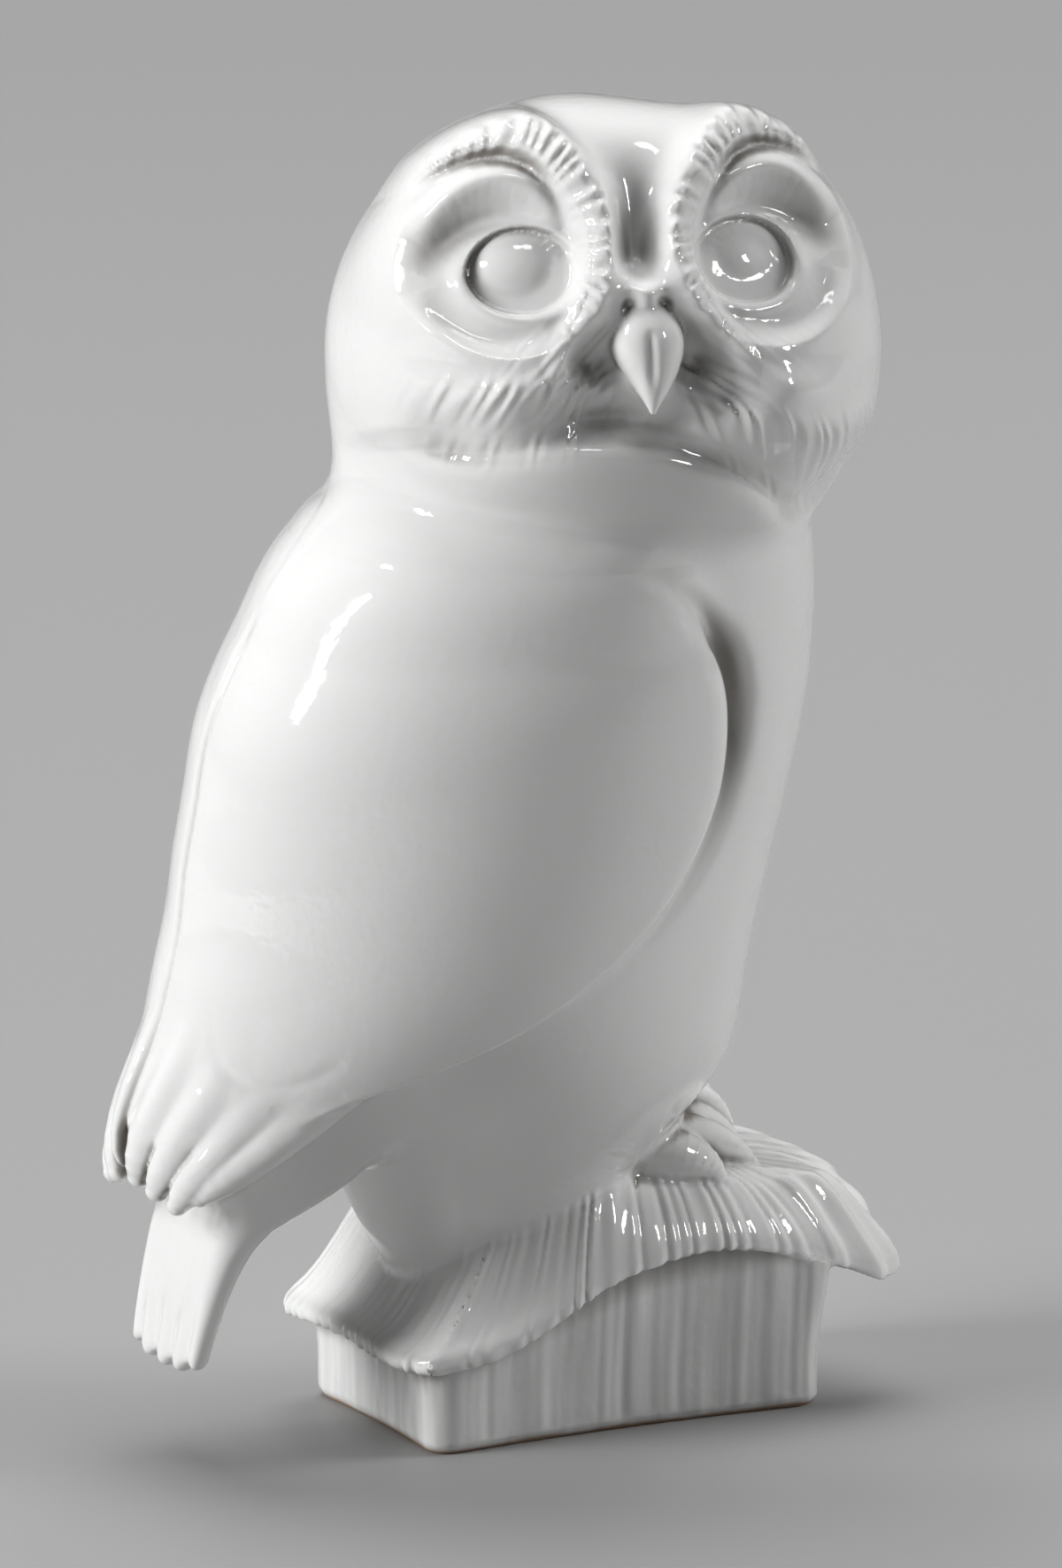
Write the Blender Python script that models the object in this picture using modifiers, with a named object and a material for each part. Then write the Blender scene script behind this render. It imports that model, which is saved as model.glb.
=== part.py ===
"""A hollow glazed porcelain owl on a draped plinth, as the castings that a repairer lutes together with slip.

The owl faces -Y and its right wing is at -X. Its head is turned to its right and looks a little up.
The origin is on the ground, under the middle of the plinth. All lengths are in millimetres, and each
mesh is scaled to metres as it is made.
"""

import math

import bmesh
import bpy
from mathutils import Matrix, Vector

MM = 0.001
MERGE_DISTANCE = 1e-4           # millimetres

# ---------------------------------------------------------------- driving dimensions, millimetres and degrees
GAP = 0.3                       # clearance that stands for the slip between two castings
BASE_GAP = 0.8                  # the same under the cover, whose underside is steep in places
WALL = 5.0                      # wall of the slip-cast hollow pieces

# The plinth: half sizes at the foot, then height and outward lean of the wall from foot to top.
PLINTH_HALF_LENGTH = 44.0       # along Y
PLINTH_HALF_WIDTH = 28.0        # along X
PLINTH_HOLLOW = 2.2             # how far each side curves in at its middle
PLINTH_CORNER = 5.0
PLINTH_WALL = ((0.0, -1.0), (1.5, 0.0), (9.0, 0.0), (18.0, 0.6), (30.0, 1.6), (44.0, 1.6), (58.0, 1.6))
VENT_AT = Vector((0.0, 22.0, 0.0))
VENT_RADIUS = 6.0
PLINTH_SIDE_STEPS = 6
PLINTH_CORNER_STEPS = 3

# The cover: its rim from the back right corner along the owl's right side, then round the front.
COVER_THICKNESS = 4.0
COVER_MIDDLE = Vector((0.0, -12.0, 0.0))
CROWN_RADIUS = 6.0
CREST_LINE = (                  # y and height of the cover's upper side along its middle
    (-64.0, 40.0),
    (-45.0, 46.0),
    (-30.0, 50.0),
    (-10.0, 52.0),
    (10.0, 46.0),
    (25.0, 40.0),
    (38.0, 35.0),
    (50.0, 33.0),
)
BACK_SLOPE = 0.28               # rise across the cover's back, towards the owl's left
BACK_SLOPE_RUN = 32.0           # behind the middle, how far it takes to reach that slope
RIM_ROLL = 11.0                 # how far inside the rim the cover climbs to that height
TONGUE_ROLL = 18.0
TONGUE_BACK = -42.0             # the tongue is in front of this y
COVER_SHARES = (0.0, 0.12, 0.3, 0.5, 0.7, 0.86, 1.0)    # rings from the rim to the crown
BEYOND_RIM = 1.3                # how far the space beside the cover reaches past its rim
COVER_FLOOR, COVER_CEILING = -20.0, 120.0
RIM_STEPS = 2                   # columns between two rim points
RIM = (
    (-31.0, 47.0, 15.0),
    (-31.0, 30.0, 16.5),
    (-30.5, 12.0, 23.5),
    (-30.5, -4.0, 30.0),
    (-30.5, -20.0, 33.0),
    (-30.0, -36.0, 30.5),
    (-28.0, -48.0, 26.0),
    (-23.0, -60.0, 22.5),
    (-10.0, -62.5, 31.0),
    (4.0, -61.5, 37.0),
    (17.0, -57.0, 39.5),
    (29.0, -49.0, 41.0),
    (31.5, -32.0, 39.0),
    (31.5, -12.0, 34.0),
    (31.5, 12.0, 26.0),
    (31.5, 32.0, 20.0),
    (31.0, 47.5, 18.0),
    (12.0, 50.0, 13.5),
    (-14.0, 50.0, 13.5),
)

# The head, in its own frame from HEAD_CENTRE.
HEAD_CENTRE = Vector((-7.0, -4.0, 215.5))
HEAD_HALF = Vector((55.0, 47.0, 51.5))      # across the face, out of the face, up
HEAD_TURN = -104.0              # the way the face looks: 0 is -Y, negative towards the owl's right
HEAD_PITCH = 22.0
HEAD_ROLL = -2.0
HEAD_BOXINESS = 1.2             # how much squarer than an ellipsoid the brows are
HEAD_INSET = 11.0               # wall of the head, which is thick so that the sockets don't break through
NECK_SEAM = Vector((-52.0, 0.0, 203.0))     # a point of the joint between trunk and head, under the chin
NECK_TILT = 12.0                # how far the joint falls towards the nape
NECK_REACH = 150.0              # size of the space on each side of that joint

EYE_FRONT = Vector((23.5, -37.0, 12.0))     # foremost point of the left eyeball
EYE_HALF = Vector((12.0, 10.0, 10.0))
EYE_SPLAY = 34.0                # how far each eye looks outwards
DISC_HALF = Vector((20.0, 9.0, 17.0))       # the hollow disc round each eye
DISC_AHEAD = 2.5
BROW = (                        # along the left brow crest: across, out of the face, up, radius
    (6.0, -45.0, 12.0, 2.4),
    (8.5, -44.5, 22.0, 3.2),
    (13.0, -41.0, 31.0, 4.0),
    (20.0, -34.5, 38.0, 4.6),
    (29.0, -28.0, 38.0, 4.2),
    (39.0, -20.0, 31.0, 3.4),
)

BEAK_ROOT = Vector((0.0, -43.5, 7.0))
BEAK_LENGTH = 26.0
BEAK_HALF_WIDTH = 6.5
BEAK_HALF_DEPTH = 5.0
BEAK_SIDES = 10
# Sections from the tip to the root: share of the length, how far forward, share of the width.
BEAK_PROFILE = ((1.0, 2.0, 0.12), (0.86, 4.0, 0.45), (0.62, 5.0, 0.85), (0.3, 4.5, 1.0), (0.0, 2.0, 0.75))

# Feet: the middle of each, its half sizes, and a toe from there with its radius.
FOOT_RIGHT_AT = Vector((-14.0, -16.0, 53.0))
FOOT_LEFT_AT = Vector((12.0, -22.0, 54.5))
FOOT_HALF = Vector((9.0, 9.0, 9.0))
TOE = (
    ((0.0, -2.0, 0.0), 3.6),
    ((0.0, -9.0, 2.5), 3.4),
    ((0.0, -14.0, 0.5), 2.6),
    ((0.0, -16.5, -5.0), 1.0),
)
TOE_SPREAD = 15.0               # angle between neighbouring toes
TOE_SPACING = 4.2

# The tail from its tip to its root: height, middle, thickness, half width.
TAIL_SECTIONS = (
    (18.5, 88.3, 4.5, 13.5),
    (30.0, 85.8, 6.0, 15.0),
    (41.0, 82.0, 8.0, 16.5),
    (47.0, 77.8, 13.0, 17.5),
    (52.0, 71.0, 22.0, 18.5),
    (60.0, 66.0, 24.0, 18.5),
    (70.0, 60.0, 20.0, 17.0),
)
TAIL_FEATHERS = 4
TAIL_NOTCH = (1.1, 9.0, 6.5)
TAIL_SIDES = 16
TAIL_SQUARENESS = 0.6

WING_THICKNESS = 6.0
WING_SWELL = 0.8                # makes up for what the smoothing takes off
WING_PARTING = 1.2              # from the middle of the back to each wing
WING_COLUMNS = 8
RING = 24                       # points round a trunk section
# Sections of the trunk without its wings: height, front, back, half width, sideways shift of the middle.
TRUNK = (
    (26.0, 6.0, 34.0, 12.0, 0.0),
    (36.0, -3.0, 42.0, 18.0, 0.0),
    (46.0, -11.0, 47.0, 24.0, 0.0),
    (57.0, -19.0, 53.0, 31.0, 0.0),
    (70.0, -30.0, 63.0, 38.5, 0.0),
    (87.0, -34.5, 73.0, 44.0, 0.0),
    (105.0, -38.5, 77.5, 46.0, 0.0),
    (123.0, -43.5, 76.5, 46.0, 0.0),
    (141.0, -48.0, 72.0, 45.5, 0.0),
    (160.0, -50.0, 66.0, 44.5, -0.5),
    (177.0, -48.0, 55.0, 43.0, -2.0),
    (190.0, -46.0, 47.0, 43.0, -4.5),
    (203.0, -45.0, 44.0, 43.0, -7.0),
    (216.0, -42.0, 41.0, 39.0, -7.0),
)
# Sections of the nape, which is cast with the head and runs up into it.
NECK = (
    (170.0, -48.7, 59.5, 43.5, -1.2),
    *TRUNK[-4:],
    (226.0, -34.0, 33.0, 32.0, -7.0),
)
# Sections of the outer side of the folded wings, and last where the front edge of a wing crosses each.
WINGS = (
    (54.0, 62.0, 98.0, 17.0, 89.0),
    (62.0, 34.0, 97.5, 26.0, 78.0),
    (69.0, 8.0, 95.5, 33.0, 71.0),
    (78.0, -18.0, 92.0, 39.0, 58.0),
    (87.0, -29.0, 89.0, 44.0, 35.0),
    (96.0, -33.0, 86.5, 47.0, 19.5),
    (105.0, -37.0, 84.0, 48.5, 8.0),
    (117.0, -41.0, 82.0, 50.0, -4.0),
    (130.0, -45.0, 79.5, 50.5, -12.0),
    (143.0, -47.5, 76.5, 50.5, -14.0),
    (156.0, -49.0, 71.5, 49.5, -12.0),
    (168.0, -49.0, 64.5, 47.5, -4.5),
    (180.0, -48.0, 58.0, 45.5, 10.0),
)

GLAZE_COLOUR = (0.83, 0.83, 0.81, 1.0)
GLAZE_ROUGHNESS = 0.08


# ---------------------------------------------------------------- scene and helpers
def clear_scene():
    for old in list(bpy.data.objects):
        bpy.data.objects.remove(old, do_unlink=True)


def new_collection(name):
    collection = bpy.data.collections.new(name)
    bpy.context.scene.collection.children.link(collection)
    return collection


def porcelain(name):
    material = bpy.data.materials.new(name)
    material.use_nodes = True
    shader = material.node_tree.nodes["Principled BSDF"]
    shader.inputs["Base Color"].default_value = GLAZE_COLOUR
    shader.inputs["Roughness"].default_value = GLAZE_ROUGHNESS
    shader.inputs["Metallic"].default_value = 0.0
    return material


clear_scene()
OWL = new_collection("owl_figurine")
CUTTERS = new_collection("cutters")


def add_object(name, mesh, cutter=False):
    """Links a mesh held in millimetres as an object in metres, either as a piece or as a cutter."""
    mesh.transform(Matrix.Scale(MM, 4))
    obj = bpy.data.objects.new(name, mesh)
    (CUTTERS if cutter else OWL).objects.link(obj)
    if cutter:
        obj.hide_render = True
        obj.display_type = "WIRE"
    else:
        mesh.materials.append(porcelain(name + "_glaze"))
        mesh.shade_smooth()
    return obj


def object_from(name, form, cutter=False):
    mesh = bpy.data.meshes.new(name)
    form.to_mesh(mesh)
    form.free()
    return add_object(name, mesh, cutter)


def loft(name, rings, closed=True, floor=False, lid=False, cutter=False):
    """Faces between neighbouring rings, with a face over the first ring or the last one if asked."""
    form = bmesh.new()
    rows = [[form.verts.new(point) for point in ring] for ring in rings]
    count = len(rings[0])
    for lower, upper in zip(rows, rows[1:]):
        for i in range(count if closed else count - 1):
            j = (i + 1) % count
            form.faces.new((lower[i], lower[j], upper[j], upper[i]))
    if floor:
        form.faces.new(list(reversed(rows[0])))
    if lid:
        form.faces.new(rows[-1])
    if floor and lid:
        bmesh.ops.recalc_face_normals(form, faces=form.faces)
    return object_from(name, form, cutter)


def cuboid(name, centre, size, turn):
    form = bmesh.new()
    bmesh.ops.create_cube(form, size=1.0)
    bmesh.ops.scale(form, vec=size, verts=form.verts)
    bmesh.ops.transform(form, matrix=Matrix.Translation(centre) @ turn, verts=form.verts)
    return object_from(name, form, cutter=True)


def ball(name, half, place, cutter=False, segments=20, rings=12):
    """An ellipsoid with these half axes, put in place by a matrix."""
    form = bmesh.new()
    bmesh.ops.create_uvsphere(form, u_segments=segments, v_segments=rings, radius=1.0)
    bmesh.ops.scale(form, vec=half, verts=form.verts)
    bmesh.ops.transform(form, matrix=place, verts=form.verts)
    return object_from(name, form, cutter)


def rod(name, points, radii):
    """A round rod whose radius changes from point to point, as a closed mesh to join or cut with."""
    data = bpy.data.curves.new(name, "CURVE")
    data.dimensions = "3D"
    data.bevel_depth = 1.0
    data.bevel_resolution = 1
    data.use_fill_caps = True
    spline = data.splines.new("POLY")
    spline.points.add(len(points) - 1)
    for knot, point, radius in zip(spline.points, points, radii):
        knot.co = (*point, 1.0)
        knot.radius = radius
    guide = bpy.data.objects.new(name + "_curve", data)
    CUTTERS.objects.link(guide)
    bpy.context.view_layer.update()
    mesh = bpy.data.meshes.new_from_object(guide.evaluated_get(bpy.context.evaluated_depsgraph_get()))
    bpy.data.objects.remove(guide, do_unlink=True)
    form = bmesh.new()
    form.from_mesh(mesh)
    bpy.data.meshes.remove(mesh)
    bmesh.ops.remove_doubles(form, verts=form.verts, dist=MERGE_DISTANCE)
    bmesh.ops.recalc_face_normals(form, faces=form.faces)
    return object_from(name, form, cutter=True)


def subdivide(obj):
    modifier = obj.modifiers.new("smooth", "SUBSURF")
    modifier.levels = 1
    modifier.render_levels = 1


def thicken(obj, thickness):
    modifier = obj.modifiers.new("wall", "SOLIDIFY")
    modifier.thickness = thickness * MM
    modifier.offset = -1.0


def combine(obj, operation, others):
    for other in others:
        modifier = obj.modifiers.new(other.name, "BOOLEAN")
        modifier.operation = operation
        modifier.object = other
        modifier.solver = "EXACT"


def cut(obj, *others):
    combine(obj, "DIFFERENCE", others)


def join(obj, *others):
    combine(obj, "UNION", others)


def mix(a, b, share):
    return a + (b - a) * share


def rotation(degrees, axis):
    return Matrix.Rotation(math.radians(degrees), 4, axis)


# The head's own frame: X across the face, -Y out of the face, Z up.
HEAD = (
    Matrix.Translation(HEAD_CENTRE)
    @ rotation(HEAD_TURN, "Z")
    @ rotation(-HEAD_PITCH, "X")
    @ rotation(HEAD_ROLL, "Y")
)


# ---------------------------------------------------------------- sections and surfaces
def oval(height, front, back, half_width, shift=0.0, spare=0.0):
    """A closed oval section of the trunk, with a spare margin all round."""
    middle, half_depth = (front + back) / 2, (back - front) / 2
    ring = []
    for i in range(RING):
        angle = math.tau * i / RING
        x = shift + (half_width + spare) * math.cos(angle)
        y = middle + (half_depth + spare) * math.sin(angle)
        ring.append(Vector((x, y, height)))
    return ring


def rim_points():
    """The closed rim of the cover as a smooth curve through its corner points."""
    points = []
    for i in range(len(RIM)):
        before, start, end, after = (Vector(RIM[(i + k) % len(RIM)]) for k in (-1, 0, 1, 2))
        for step in range(RIM_STEPS):
            t = step / RIM_STEPS
            bend = 2 * before - 5 * start + 4 * end - after + t * (3 * (start - end) + after - before)
            points.append(start + 0.5 * t * (end - before + t * bend))
    return points


def cover_height(place):
    """Height of the cover's upper side well inside the rim."""
    height = CREST_LINE[-1][1]
    for (y, low), (next_y, high) in zip(CREST_LINE, CREST_LINE[1:]):
        if y <= place.y <= next_y:
            height = mix(low, high, (place.y - y) / (next_y - y))
            break
    behind = min(max(place.y / BACK_SLOPE_RUN, 0.0), 1.0)
    return height + BACK_SLOPE * behind * place.x


def cover_rings(drop):
    """Rings of the cover's upper side lowered by drop, from the rim to the crown under the breast."""
    rings = []
    for share in COVER_SHARES:
        ring = []
        for point in rim_points():
            outward = Vector((point.x, point.y, 0.0)) - COVER_MIDDLE
            place = COVER_MIDDLE + mix(outward, outward.normalized() * CROWN_RADIUS, share)
            inside = (outward - (place - COVER_MIDDLE)).length
            roll = TONGUE_ROLL if point.y < TONGUE_BACK else RIM_ROLL
            climb = math.sin(min(1.0, inside / roll) * math.pi / 2)
            height = mix(point.z + COVER_THICKNESS, cover_height(place), climb)
            ring.append(Vector((place.x, place.y, height - drop)))
        rings.append(ring)
    return rings


def space_beside_cover(name, drop, level):
    """The space between the cover's lowered upper side and a level face, reaching past the rim."""
    rings = cover_rings(drop)
    outside = [Vector((p.x * BEYOND_RIM, p.y * BEYOND_RIM, p.z)) for p in rings[0]]
    flat = [Vector((p.x, p.y, level)) for p in outside]
    return loft(name, [flat, outside, *rings], floor=True, lid=True, cutter=True)


def wing_form(name, side, spare=0.0, cutter=False):
    """The shell of a folded wing from its front edge to the middle of the back."""
    margin = spare + WING_SWELL
    rings = []
    for height, front, back, half_width, edge in WINGS:
        middle, half_depth = (front + back) / 2, (back - front) / 2
        first = math.asin((edge - middle) / half_depth)
        last = math.pi / 2 - math.asin(WING_PARTING / half_width)
        ring = []
        for i in range(WING_COLUMNS + 1):
            angle = mix(first, last, i / WING_COLUMNS)
            x = side * (half_width + margin) * math.cos(angle)
            ring.append(Vector((x, middle + (half_depth + margin) * math.sin(angle), height)))
        rings.append(ring if side > 0 else list(reversed(ring)))
    wing = loft(name, rings, closed=False, cutter=cutter)
    subdivide(wing)
    thicken(wing, WING_THICKNESS + 2 * spare)
    return wing


def head_form(name, inset=0.0, cutter=False):
    """An egg that is squarer towards the brows than towards the chin."""
    form = bmesh.new()
    bmesh.ops.create_uvsphere(form, u_segments=32, v_segments=22, radius=1.0)
    for vert in form.verts:
        power = 2.0 + HEAD_BOXINESS * max(0.0, -vert.co.y) * min(1.0, 1.0 + vert.co.z)
        reach = sum(abs(c) ** power for c in vert.co) ** (-1 / power)
        vert.co = Vector([c * reach * (half - inset) for c, half in zip(vert.co, HEAD_HALF)])
    bmesh.ops.transform(form, matrix=HEAD, verts=form.verts)
    return object_from(name, form, cutter)


def eye_place(side):
    """The middle of an eyeball and the way it looks."""
    turn = rotation(EYE_SPLAY * side, "Z")
    front = Vector((EYE_FRONT.x * side, EYE_FRONT.y, EYE_FRONT.z))
    return HEAD @ Matrix.Translation(front) @ turn @ Matrix.Translation((0.0, EYE_HALF.y, 0.0))


def beak_rings(spare=0.0):
    """Sections of the hooked beak from its tip up to its root."""
    rings = []
    for share, forward, width in BEAK_PROFILE:
        ring = []
        for i in range(BEAK_SIDES):
            angle = math.tau * i / BEAK_SIDES
            x = (BEAK_HALF_WIDTH * width + spare) * math.cos(angle)
            y = BEAK_ROOT.y - forward + (BEAK_HALF_DEPTH * width + spare) * math.sin(angle)
            ring.append(HEAD @ Vector((x, y, BEAK_ROOT.z - share * BEAK_LENGTH)))
        rings.append(ring)
    return rings


# ---------------------------------------------------------------- spaces that the pieces leave to each other
def neck_space(name, direction):
    """Everything on one side of the joint at the neck, and half the gap past it."""
    turn = rotation(NECK_TILT, "Y")
    middle = NECK_SEAM + turn.to_3x3() @ Vector((0.0, 0.0, direction * (NECK_REACH - GAP) / 2))
    return cuboid(name, middle, (2 * NECK_REACH, 2 * NECK_REACH, NECK_REACH), turn)


TRUNK_SPACE = loft("trunk_space", [oval(*row, spare=GAP) for row in TRUNK], floor=True, lid=True, cutter=True)
ABOVE_NECK = neck_space("above_neck", 1)
BELOW_NECK = neck_space("below_neck", -1)
BELOW_COVER = space_beside_cover("below_cover", -GAP, COVER_FLOOR)
ABOVE_COVER = space_beside_cover("above_cover", COVER_THICKNESS + BASE_GAP, COVER_CEILING)


# ---------------------------------------------------------------- pieces
def plinth_ring(height, flare):
    """A rectangle with hollow sides and rounded corners."""
    ring = []
    for quarter in range(4):
        along, across = PLINTH_HALF_LENGTH + flare, PLINTH_HALF_WIDTH + flare
        if quarter % 2:
            along, across = across, along
        turn = rotation(90 * quarter, "Z")
        for i in range(PLINTH_SIDE_STEPS + 1):
            t = mix(-1.0, 1.0, i / PLINTH_SIDE_STEPS)
            hollow = PLINTH_HOLLOW * (1 - t * t)
            ring.append(turn @ Vector((across - hollow, t * (along - PLINTH_CORNER), height)))
        for i in range(1, PLINTH_CORNER_STEPS):
            angle = math.radians(90 * i / PLINTH_CORNER_STEPS)
            x = across - PLINTH_CORNER * (1 - math.cos(angle))
            y = along - PLINTH_CORNER * (1 - math.sin(angle))
            ring.append(turn @ Vector((x, y, height)))
    return ring


def make_plinth():
    """Four hollowed walls and a floor with a vent, standing on a flat unglazed foot."""
    plinth = loft("plinth", [plinth_ring(height, flare) for height, flare in PLINTH_WALL], floor=True)
    thicken(plinth, WALL)
    form = bmesh.new()
    bmesh.ops.create_cone(
        form, cap_ends=True, segments=20, radius1=VENT_RADIUS, radius2=VENT_RADIUS, depth=4 * WALL
    )
    bmesh.ops.translate(form, vec=VENT_AT, verts=form.verts)
    cut(plinth, ABOVE_COVER, object_from("vent", form, cutter=True))


def make_cover():
    """The pleated cloth over the plinth: one sheet with its ragged rim hanging over the walls."""
    upper, under = cover_rings(0.0), cover_rings(COVER_THICKNESS)
    loft("plinth_cover", [*reversed(under), *upper], floor=True, lid=True)


def make_trunk():
    """The breast, back and belly as one hollow casting, open at the neck and where it stands."""
    trunk = loft("trunk", [oval(*row) for row in TRUNK])
    thicken(trunk, WALL)
    cut(trunk, BELOW_COVER, ABOVE_NECK)


def make_wing(name, side):
    """A folded wing: a shell over the flank, whose feathers run free past the rump."""
    wing = wing_form(name, side)
    cut(wing, TRUNK_SPACE, ABOVE_NECK)


def make_tail():
    """A thick root under the wing tips that thins to a fan, cut into feathers at its end."""
    rings = []
    for height, middle, thickness, half_width in TAIL_SECTIONS:
        ring = []
        for i in range(TAIL_SIDES):
            angle = math.tau * (i + 0.5) / TAIL_SIDES
            x, y = (math.copysign(abs(c) ** TAIL_SQUARENESS, c) for c in (math.cos(angle), math.sin(angle)))
            ring.append(Vector((half_width * x, middle + thickness / 2 * y, height)))
        rings.append(ring)
    tail = loft("tail", rings, floor=True, lid=True)
    spacing = 2 * TAIL_SECTIONS[0][3] / TAIL_FEATHERS
    for i in range(1, TAIL_FEATHERS):
        across = spacing * (i - TAIL_FEATHERS / 2)
        place = Matrix.Translation((across, TAIL_SECTIONS[0][1], TAIL_SECTIONS[0][0]))
        cut(tail, ball(f"tail_notch_{i}", TAIL_NOTCH, place, cutter=True, segments=12, rings=8))
    left_space = wing_form("wing_space_left", 1, GAP, cutter=True)
    right_space = wing_form("wing_space_right", -1, GAP, cutter=True)
    cut(tail, TRUNK_SPACE, left_space, right_space)


def make_brow(name, side):
    """The feathered crest over an eye, from the root of the beak out to the temple."""
    points = [HEAD @ Vector((x * side, y, z)) for x, y, z, radius in BROW]
    return rod(name, points, [row[3] for row in BROW])


def make_head():
    """The head and nape as one hollow casting, with brow crests and a hollow disc round each eye."""
    head = head_form("head")
    join(head, loft("nape", [oval(*row) for row in NECK], floor=True, lid=True, cutter=True))
    for side, label in ((1, "left"), (-1, "right")):
        disc_place = eye_place(side) @ Matrix.Translation((0.0, -EYE_HALF.y - DISC_AHEAD, 0.0))
        socket_half = [half + GAP for half in EYE_HALF]
        cut(
            head,
            ball("disc_" + label, DISC_HALF, disc_place, cutter=True),
            ball("socket_" + label, socket_half, eye_place(side), cutter=True),
        )
    for side, label in ((1, "left"), (-1, "right")):
        join(head, make_brow("brow_" + label, side))
    cut(
        head,
        loft("beak_seat", beak_rings(GAP), floor=True, lid=True, cutter=True),
        head_form("head_hollow", HEAD_INSET, cutter=True),
        loft("nape_hollow", [oval(*row, spare=-WALL) for row in NECK], floor=True, lid=True, cutter=True),
        BELOW_NECK,
    )


def make_foot(name, side, middle):
    """A feathered foot whose toes close over the front of the cover."""
    foot = ball(name, FOOT_HALF, Matrix.Translation(middle), segments=16, rings=10)
    for i, label in ((-1, "inner"), (0, "middle"), (1, "outer")):
        turn = rotation(TOE_SPREAD * i * side, "Z")
        root = middle + Vector((TOE_SPACING * i * side, 0.0, 0.0))
        points = [root + turn @ Vector(point) for point, radius in TOE]
        join(foot, rod(f"{name}_toe_{label}", points, [radius for point, radius in TOE]))
    cut(foot, BELOW_COVER, TRUNK_SPACE)


make_plinth()
make_cover()
make_trunk()
make_wing("wing_left", 1)
make_wing("wing_right", -1)
make_tail()
make_head()
loft("beak", beak_rings(), floor=True, lid=True)
ball("eye_left", EYE_HALF, eye_place(1))
ball("eye_right", EYE_HALF, eye_place(-1))
make_foot("foot_left", 1, FOOT_LEFT_AT)
make_foot("foot_right", -1, FOOT_RIGHT_AT)
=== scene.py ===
"""The looks of the porcelain owl: one continuous glazed skin, split into the pieces it was luted from.

Every form is a signed distance field in millimetres, negative inside. The fields melt together as slip and
glaze do, the skin is meshed where the melted field is zero, and each face goes to the piece whose own field
is nearest. Neighbouring pieces therefore share their seam points and normals, so no seam shows.
"""

import math
from concurrent.futures import ThreadPoolExecutor

import bpy
import numpy as np
import openvdb
from mathutils import Matrix, Vector


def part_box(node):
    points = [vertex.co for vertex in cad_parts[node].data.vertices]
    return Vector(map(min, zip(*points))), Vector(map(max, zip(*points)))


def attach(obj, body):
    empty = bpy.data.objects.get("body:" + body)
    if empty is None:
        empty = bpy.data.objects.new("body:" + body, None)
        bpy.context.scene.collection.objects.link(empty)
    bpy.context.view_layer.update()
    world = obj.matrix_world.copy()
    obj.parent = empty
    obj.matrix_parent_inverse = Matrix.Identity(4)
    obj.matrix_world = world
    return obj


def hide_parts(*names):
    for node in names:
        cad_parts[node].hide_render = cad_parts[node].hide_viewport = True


MM = 0.001
FAR = 1e3
VOXEL = 0.62     # spacing of the samples that the skin is meshed from
BLOCK = 4                               # samples along each side of a block
SKIN = 1.6                              # a wall thickness for the pieces that nothing in the script uses; they stay open skins
SLOPE_STEP = 0.2                        # step for measuring a field's slope


# ---------------------------------------------------------------- the frame
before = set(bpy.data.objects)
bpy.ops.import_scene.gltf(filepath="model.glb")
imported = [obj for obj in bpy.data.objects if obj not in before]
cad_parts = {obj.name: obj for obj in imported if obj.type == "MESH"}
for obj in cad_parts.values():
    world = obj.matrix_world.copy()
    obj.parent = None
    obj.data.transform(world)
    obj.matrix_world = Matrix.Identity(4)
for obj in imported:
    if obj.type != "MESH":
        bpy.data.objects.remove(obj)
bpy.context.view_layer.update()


def centre_mm(node):
    low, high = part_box(node)
    return np.array((low + high) / 2) / MM


# ---------------------------------------------------------------- field tools
def smooth_curve(knots, values):
    """A natural cubic spline through the knots, level beyond the first and last."""
    knots, values = np.asarray(knots, float), np.asarray(values, float)
    gaps = np.diff(knots)
    count = len(knots)
    system, wanted = np.eye(count), np.zeros(count)
    for i in range(1, count - 1):
        system[i, i - 1 : i + 2] = gaps[i - 1], 2 * (gaps[i - 1] + gaps[i]), gaps[i]
        rises = np.diff(values[i - 1 : i + 2]) / gaps[i - 1 : i + 1]
        wanted[i] = 6 * (rises[1] - rises[0])
    bend = np.linalg.solve(system, wanted)

    def evaluate(at):
        at = np.clip(at, knots[0], knots[-1])
        i = np.clip(np.searchsorted(knots, at) - 1, 0, count - 2)
        gap, left, right = gaps[i], at - knots[i], knots[i + 1] - at
        return (
            (bend[i] * right**3 + bend[i + 1] * left**3) / (6 * gap)
            + (values[i] / gap - bend[i] * gap / 6) * right
            + (values[i + 1] / gap - bend[i + 1] * gap / 6) * left
        )

    return evaluate


def melt(a, b, reach):
    """The union of two fields with a fillet."""
    overlap = np.maximum(reach - np.abs(a - b), 0.0) / reach
    return np.minimum(a, b) - overlap * overlap * reach / 4


def trim(a, b, reach):
    """The overlap of two fields with a rounded edge."""
    return -melt(-a, -b, reach)


def bump(distance, width):
    """1 at distance 0, falling smoothly to nothing a few widths away."""
    return np.exp(-((distance / width) ** 2))


def ease(low, high, value):
    share = np.clip((value - low) / (high - low), 0.0, 1.0)
    return share * share * (3 - 2 * share)


def smooth_path(points, count):
    """Points along a smooth curve through the given ones, evenly spread over their numbering."""
    points = np.asarray(points, float)
    knots = np.arange(len(points))
    at = np.linspace(0, len(points) - 1, count)
    return np.stack([smooth_curve(knots, column)(at) for column in points.T], axis=1)


def nearest_on_path(p, path):
    """Distance to a polyline and how far along it, in path points, the nearest place is."""
    best, where = np.full(len(p), FAR), np.zeros(len(p))
    for i, (a, b) in enumerate(zip(path, path[1:])):
        along = b - a
        share = np.clip((p - a) @ along / (along @ along), 0.0, 1.0)
        distance = np.linalg.norm(p - a - share[:, None] * along, axis=1)
        closer = distance < best
        best = np.where(closer, distance, best)
        where = np.where(closer, i + share, where)
    return best, where


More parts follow.
